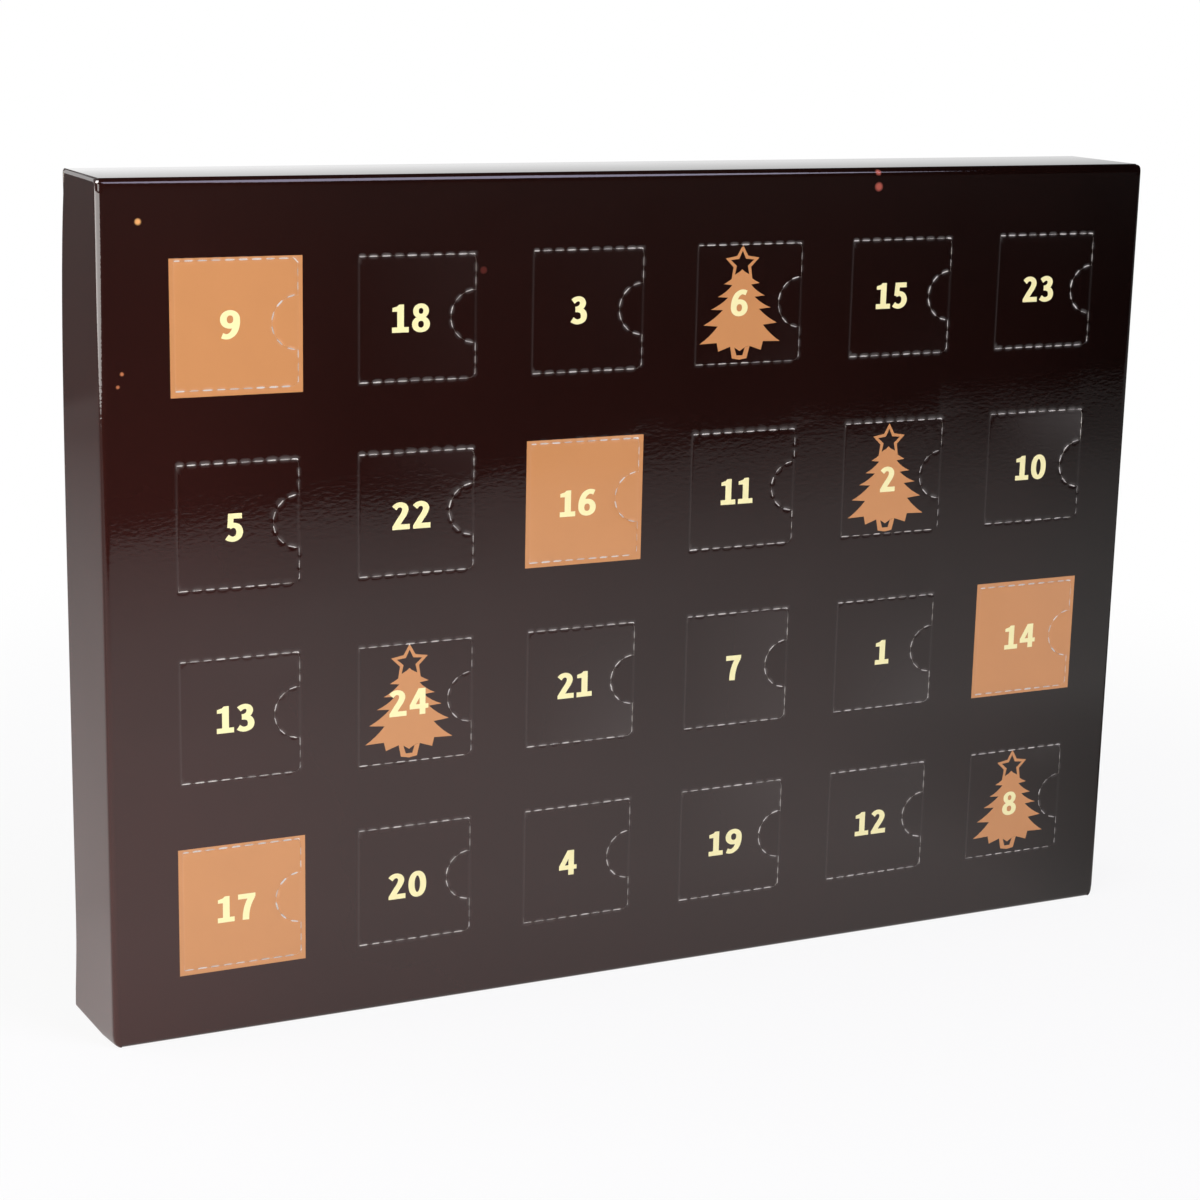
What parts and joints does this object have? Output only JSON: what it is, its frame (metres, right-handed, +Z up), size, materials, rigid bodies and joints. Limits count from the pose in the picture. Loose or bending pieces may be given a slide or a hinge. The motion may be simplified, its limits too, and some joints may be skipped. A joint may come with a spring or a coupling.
{
  "type": "advent calendar",
  "caption": "Flat upright paperboard advent calendar with numbered perforated doors over a pocketed tray, thumb tabs and tuck-in ends.",
  "frame": {"origin": "centre of the bottom face of the bounding box, on the surface it stands on", "axes": "+Z up; +X along the width, to the right seen from the front; +Y to the back, so the doors face -Y"},
  "size_m": [0.34, 0.038, 0.248],
  "materials": {
    "printed_board": "gloss laminated dark brown print outside, uncoated board inside",
    "inner_board": "uncoated board",
    "formed_tray": "thin formed sheet, semi-gloss"
  },
  "bodies": {
    "root": {"front_panel": "printed_board", "carton_shell": "printed_board", "glue_flap": "inner_board", "tray": "formed_tray", "dust_flap_left_top": "inner_board", "dust_flap_left_bottom": "inner_board", "dust_flap_right_top": "inner_board", "dust_flap_right_bottom": "inner_board"},
    "door_01": {"door_01": "printed_board"},
    "thumb_tab_01": {"thumb_tab_01": "printed_board"},
    "door_02": {"door_02": "printed_board"},
    "thumb_tab_02": {"thumb_tab_02": "printed_board"},
    "door_03": {"door_03": "printed_board"},
    "thumb_tab_03": {"thumb_tab_03": "printed_board"},
    "door_04": {"door_04": "printed_board"},
    "thumb_tab_04": {"thumb_tab_04": "printed_board"},
    "door_05": {"door_05": "printed_board"},
    "thumb_tab_05": {"thumb_tab_05": "printed_board"},
    "door_06": {"door_06": "printed_board"},
    "thumb_tab_06": {"thumb_tab_06": "printed_board"},
    "door_07": {"door_07": "printed_board"},
    "thumb_tab_07": {"thumb_tab_07": "printed_board"},
    "door_08": {"door_08": "printed_board"},
    "thumb_tab_08": {"thumb_tab_08": "printed_board"},
    "door_09": {"door_09": "printed_board"},
    "thumb_tab_09": {"thumb_tab_09": "printed_board"},
    "door_10": {"door_10": "printed_board"},
    "thumb_tab_10": {"thumb_tab_10": "printed_board"},
    "door_11": {"door_11": "printed_board"},
    "thumb_tab_11": {"thumb_tab_11": "printed_board"},
    "door_12": {"door_12": "printed_board"},
    "thumb_tab_12": {"thumb_tab_12": "printed_board"},
    "door_13": {"door_13": "printed_board"},
    "thumb_tab_13": {"thumb_tab_13": "printed_board"},
    "door_14": {"door_14": "printed_board"},
    "thumb_tab_14": {"thumb_tab_14": "printed_board"},
    "door_15": {"door_15": "printed_board"},
    "thumb_tab_15": {"thumb_tab_15": "printed_board"},
    "door_16": {"door_16": "printed_board"},
    "thumb_tab_16": {"thumb_tab_16": "printed_board"},
    "door_17": {"door_17": "printed_board"},
    "thumb_tab_17": {"thumb_tab_17": "printed_board"},
    "door_18": {"door_18": "printed_board"},
    "thumb_tab_18": {"thumb_tab_18": "printed_board"},
    "door_19": {"door_19": "printed_board"},
    "thumb_tab_19": {"thumb_tab_19": "printed_board"},
    "door_20": {"door_20": "printed_board"},
    "thumb_tab_20": {"thumb_tab_20": "printed_board"},
    "door_21": {"door_21": "printed_board"},
    "thumb_tab_21": {"thumb_tab_21": "printed_board"},
    "door_22": {"door_22": "printed_board"},
    "thumb_tab_22": {"thumb_tab_22": "printed_board"},
    "door_23": {"door_23": "printed_board"},
    "thumb_tab_23": {"thumb_tab_23": "printed_board"},
    "door_24": {"door_24": "printed_board"},
    "thumb_tab_24": {"thumb_tab_24": "printed_board"},
    "closure_left": {"closure_left": "printed_board"},
    "tuck_lip_left": {"tuck_lip_left": "printed_board"},
    "closure_right": {"closure_right": "printed_board"},
    "tuck_lip_right": {"tuck_lip_right": "printed_board"}
  },
  "joints": [
    {"name": "door_01_hinge", "type": "hinge", "parent": "root", "child": "door_01", "pos_m": [0.06435, -0.019, 0.0953], "axis": [0, 0, -1], "range_deg": [0, 160]},
    {"name": "thumb_tab_01_hinge", "type": "hinge", "parent": "root", "child": "thumb_tab_01", "pos_m": [0.09985, -0.0184, 0.0953], "axis": [0, 0, -1], "range_deg": [0, 75]},
    {"name": "door_02_hinge", "type": "hinge", "parent": "root", "child": "door_02", "pos_m": [0.06435, -0.019, 0.1515], "axis": [0, 0, -1], "range_deg": [0, 160]},
    {"name": "thumb_tab_02_hinge", "type": "hinge", "parent": "root", "child": "thumb_tab_02", "pos_m": [0.09985, -0.0184, 0.1515], "axis": [0, 0, -1], "range_deg": [0, 75]},
    {"name": "door_03_hinge", "type": "hinge", "parent": "root", "child": "door_03", "pos_m": [-0.04285, -0.019, 0.2077], "axis": [0, 0, -1], "range_deg": [0, 160]},
    {"name": "thumb_tab_03_hinge", "type": "hinge", "parent": "root", "child": "thumb_tab_03", "pos_m": [-0.00735, -0.0184, 0.2077], "axis": [0, 0, -1], "range_deg": [0, 75]},
    {"name": "door_04_hinge", "type": "hinge", "parent": "root", "child": "door_04", "pos_m": [-0.04285, -0.019, 0.0391], "axis": [0, 0, -1], "range_deg": [0, 160]},
    {"name": "thumb_tab_04_hinge", "type": "hinge", "parent": "root", "child": "thumb_tab_04", "pos_m": [-0.00735, -0.0184, 0.0391], "axis": [0, 0, -1], "range_deg": [0, 75]},
    {"name": "door_05_hinge", "type": "hinge", "parent": "root", "child": "door_05", "pos_m": [-0.15005, -0.019, 0.1515], "axis": [0, 0, -1], "range_deg": [0, 160]},
    {"name": "thumb_tab_05_hinge", "type": "hinge", "parent": "root", "child": "thumb_tab_05", "pos_m": [-0.11455, -0.0184, 0.1515], "axis": [0, 0, -1], "range_deg": [0, 75]},
    {"name": "door_06_hinge", "type": "hinge", "parent": "root", "child": "door_06", "pos_m": [0.01075, -0.019, 0.2077], "axis": [0, 0, -1], "range_deg": [0, 160]},
    {"name": "thumb_tab_06_hinge", "type": "hinge", "parent": "root", "child": "thumb_tab_06", "pos_m": [0.04625, -0.0184, 0.2077], "axis": [0, 0, -1], "range_deg": [0, 75]},
    {"name": "door_07_hinge", "type": "hinge", "parent": "root", "child": "door_07", "pos_m": [0.01075, -0.019, 0.0953], "axis": [0, 0, -1], "range_deg": [0, 160]},
    {"name": "thumb_tab_07_hinge", "type": "hinge", "parent": "root", "child": "thumb_tab_07", "pos_m": [0.04625, -0.0184, 0.0953], "axis": [0, 0, -1], "range_deg": [0, 75]},
    {"name": "door_08_hinge", "type": "hinge", "parent": "root", "child": "door_08", "pos_m": [0.11795, -0.019, 0.0391], "axis": [0, 0, -1], "range_deg": [0, 160]},
    {"name": "thumb_tab_08_hinge", "type": "hinge", "parent": "root", "child": "thumb_tab_08", "pos_m": [0.15345, -0.0184, 0.0391], "axis": [0, 0, -1], "range_deg": [0, 75]},
    {"name": "door_09_hinge", "type": "hinge", "parent": "root", "child": "door_09", "pos_m": [-0.15005, -0.019, 0.2077], "axis": [0, 0, -1], "range_deg": [0, 160]},
    {"name": "thumb_tab_09_hinge", "type": "hinge", "parent": "root", "child": "thumb_tab_09", "pos_m": [-0.11455, -0.0184, 0.2077], "axis": [0, 0, -1], "range_deg": [0, 75]},
    {"name": "door_10_hinge", "type": "hinge", "parent": "root", "child": "door_10", "pos_m": [0.11795, -0.019, 0.1515], "axis": [0, 0, -1], "range_deg": [0, 160]},
    {"name": "thumb_tab_10_hinge", "type": "hinge", "parent": "root", "child": "thumb_tab_10", "pos_m": [0.15345, -0.0184, 0.1515], "axis": [0, 0, -1], "range_deg": [0, 75]},
    {"name": "door_11_hinge", "type": "hinge", "parent": "root", "child": "door_11", "pos_m": [0.01075, -0.019, 0.1515], "axis": [0, 0, -1], "range_deg": [0, 160]},
    {"name": "thumb_tab_11_hinge", "type": "hinge", "parent": "root", "child": "thumb_tab_11", "pos_m": [0.04625, -0.0184, 0.1515], "axis": [0, 0, -1], "range_deg": [0, 75]},
    {"name": "door_12_hinge", "type": "hinge", "parent": "root", "child": "door_12", "pos_m": [0.06435, -0.019, 0.0391], "axis": [0, 0, -1], "range_deg": [0, 160]},
    {"name": "thumb_tab_12_hinge", "type": "hinge", "parent": "root", "child": "thumb_tab_12", "pos_m": [0.09985, -0.0184, 0.0391], "axis": [0, 0, -1], "range_deg": [0, 75]},
    {"name": "door_13_hinge", "type": "hinge", "parent": "root", "child": "door_13", "pos_m": [-0.15005, -0.019, 0.0953], "axis": [0, 0, -1], "range_deg": [0, 160]},
    {"name": "thumb_tab_13_hinge", "type": "hinge", "parent": "root", "child": "thumb_tab_13", "pos_m": [-0.11455, -0.0184, 0.0953], "axis": [0, 0, -1], "range_deg": [0, 75]},
    {"name": "door_14_hinge", "type": "hinge", "parent": "root", "child": "door_14", "pos_m": [0.11795, -0.019, 0.0953], "axis": [0, 0, -1], "range_deg": [0, 160]},
    {"name": "thumb_tab_14_hinge", "type": "hinge", "parent": "root", "child": "thumb_tab_14", "pos_m": [0.15345, -0.0184, 0.0953], "axis": [0, 0, -1], "range_deg": [0, 75]},
    {"name": "door_15_hinge", "type": "hinge", "parent": "root", "child": "door_15", "pos_m": [0.06435, -0.019, 0.2077], "axis": [0, 0, -1], "range_deg": [0, 160]},
    {"name": "thumb_tab_15_hinge", "type": "hinge", "parent": "root", "child": "thumb_tab_15", "pos_m": [0.09985, -0.0184, 0.2077], "axis": [0, 0, -1], "range_deg": [0, 75]},
    {"name": "door_16_hinge", "type": "hinge", "parent": "root", "child": "door_16", "pos_m": [-0.04285, -0.019, 0.1515], "axis": [0, 0, -1], "range_deg": [0, 160]},
    {"name": "thumb_tab_16_hinge", "type": "hinge", "parent": "root", "child": "thumb_tab_16", "pos_m": [-0.00735, -0.0184, 0.1515], "axis": [0, 0, -1], "range_deg": [0, 75]},
    {"name": "door_17_hinge", "type": "hinge", "parent": "root", "child": "door_17", "pos_m": [-0.15005, -0.019, 0.0391], "axis": [0, 0, -1], "range_deg": [0, 160]},
    {"name": "thumb_tab_17_hinge", "type": "hinge", "parent": "root", "child": "thumb_tab_17", "pos_m": [-0.11455, -0.0184, 0.0391], "axis": [0, 0, -1], "range_deg": [0, 75]},
    {"name": "door_18_hinge", "type": "hinge", "parent": "root", "child": "door_18", "pos_m": [-0.09645, -0.019, 0.2077], "axis": [0, 0, -1], "range_deg": [0, 160]},
    {"name": "thumb_tab_18_hinge", "type": "hinge", "parent": "root", "child": "thumb_tab_18", "pos_m": [-0.06095, -0.0184, 0.2077], "axis": [0, 0, -1], "range_deg": [0, 75]},
    {"name": "door_19_hinge", "type": "hinge", "parent": "root", "child": "door_19", "pos_m": [0.01075, -0.019, 0.0391], "axis": [0, 0, -1], "range_deg": [0, 160]},
    {"name": "thumb_tab_19_hinge", "type": "hinge", "parent": "root", "child": "thumb_tab_19", "pos_m": [0.04625, -0.0184, 0.0391], "axis": [0, 0, -1], "range_deg": [0, 75]},
    {"name": "door_20_hinge", "type": "hinge", "parent": "root", "child": "door_20", "pos_m": [-0.09645, -0.019, 0.0391], "axis": [0, 0, -1], "range_deg": [0, 160]},
    {"name": "thumb_tab_20_hinge", "type": "hinge", "parent": "root", "child": "thumb_tab_20", "pos_m": [-0.06095, -0.0184, 0.0391], "axis": [0, 0, -1], "range_deg": [0, 75]},
    {"name": "door_21_hinge", "type": "hinge", "parent": "root", "child": "door_21", "pos_m": [-0.04285, -0.019, 0.0953], "axis": [0, 0, -1], "range_deg": [0, 160]},
    {"name": "thumb_tab_21_hinge", "type": "hinge", "parent": "root", "child": "thumb_tab_21", "pos_m": [-0.00735, -0.0184, 0.0953], "axis": [0, 0, -1], "range_deg": [0, 75]},
    {"name": "door_22_hinge", "type": "hinge", "parent": "root", "child": "door_22", "pos_m": [-0.09645, -0.019, 0.1515], "axis": [0, 0, -1], "range_deg": [0, 160]},
    {"name": "thumb_tab_22_hinge", "type": "hinge", "parent": "root", "child": "thumb_tab_22", "pos_m": [-0.06095, -0.0184, 0.1515], "axis": [0, 0, -1], "range_deg": [0, 75]},
    {"name": "door_23_hinge", "type": "hinge", "parent": "root", "child": "door_23", "pos_m": [0.11795, -0.019, 0.2077], "axis": [0, 0, -1], "range_deg": [0, 160]},
    {"name": "thumb_tab_23_hinge", "type": "hinge", "parent": "root", "child": "thumb_tab_23", "pos_m": [0.15345, -0.0184, 0.2077], "axis": [0, 0, -1], "range_deg": [0, 75]},
    {"name": "door_24_hinge", "type": "hinge", "parent": "root", "child": "door_24", "pos_m": [-0.09645, -0.019, 0.0953], "axis": [0, 0, -1], "range_deg": [0, 160]},
    {"name": "thumb_tab_24_hinge", "type": "hinge", "parent": "root", "child": "thumb_tab_24", "pos_m": [-0.06095, -0.0184, 0.0953], "axis": [0, 0, -1], "range_deg": [0, 75]},
    {"name": "closure_left_hinge", "type": "hinge", "parent": "root", "child": "closure_left", "pos_m": [-0.17, -0.019, 0.124], "axis": [0, 0, 1], "range_deg": [0, 105]},
    {"name": "tuck_lip_left_hinge", "type": "hinge", "parent": "closure_left", "child": "tuck_lip_left", "pos_m": [-0.1694, 0.0172, 0.124], "axis": [0, 0, -1], "range_deg": [0, 75]},
    {"name": "closure_right_hinge", "type": "hinge", "parent": "root", "child": "closure_right", "pos_m": [0.17, -0.019, 0.124], "axis": [0, 0, -1], "range_deg": [0, 105]},
    {"name": "tuck_lip_right_hinge", "type": "hinge", "parent": "closure_right", "child": "tuck_lip_right", "pos_m": [0.1694, 0.0172, 0.124], "axis": [0, 0, 1], "range_deg": [0, 75]}
  ],
  "couplings": [
    {"joint": "tuck_lip_left_hinge", "follows": "closure_left_hinge", "ratio": 0.6},
    {"joint": "tuck_lip_right_hinge", "follows": "closure_right_hinge", "ratio": 0.6}
  ]
}
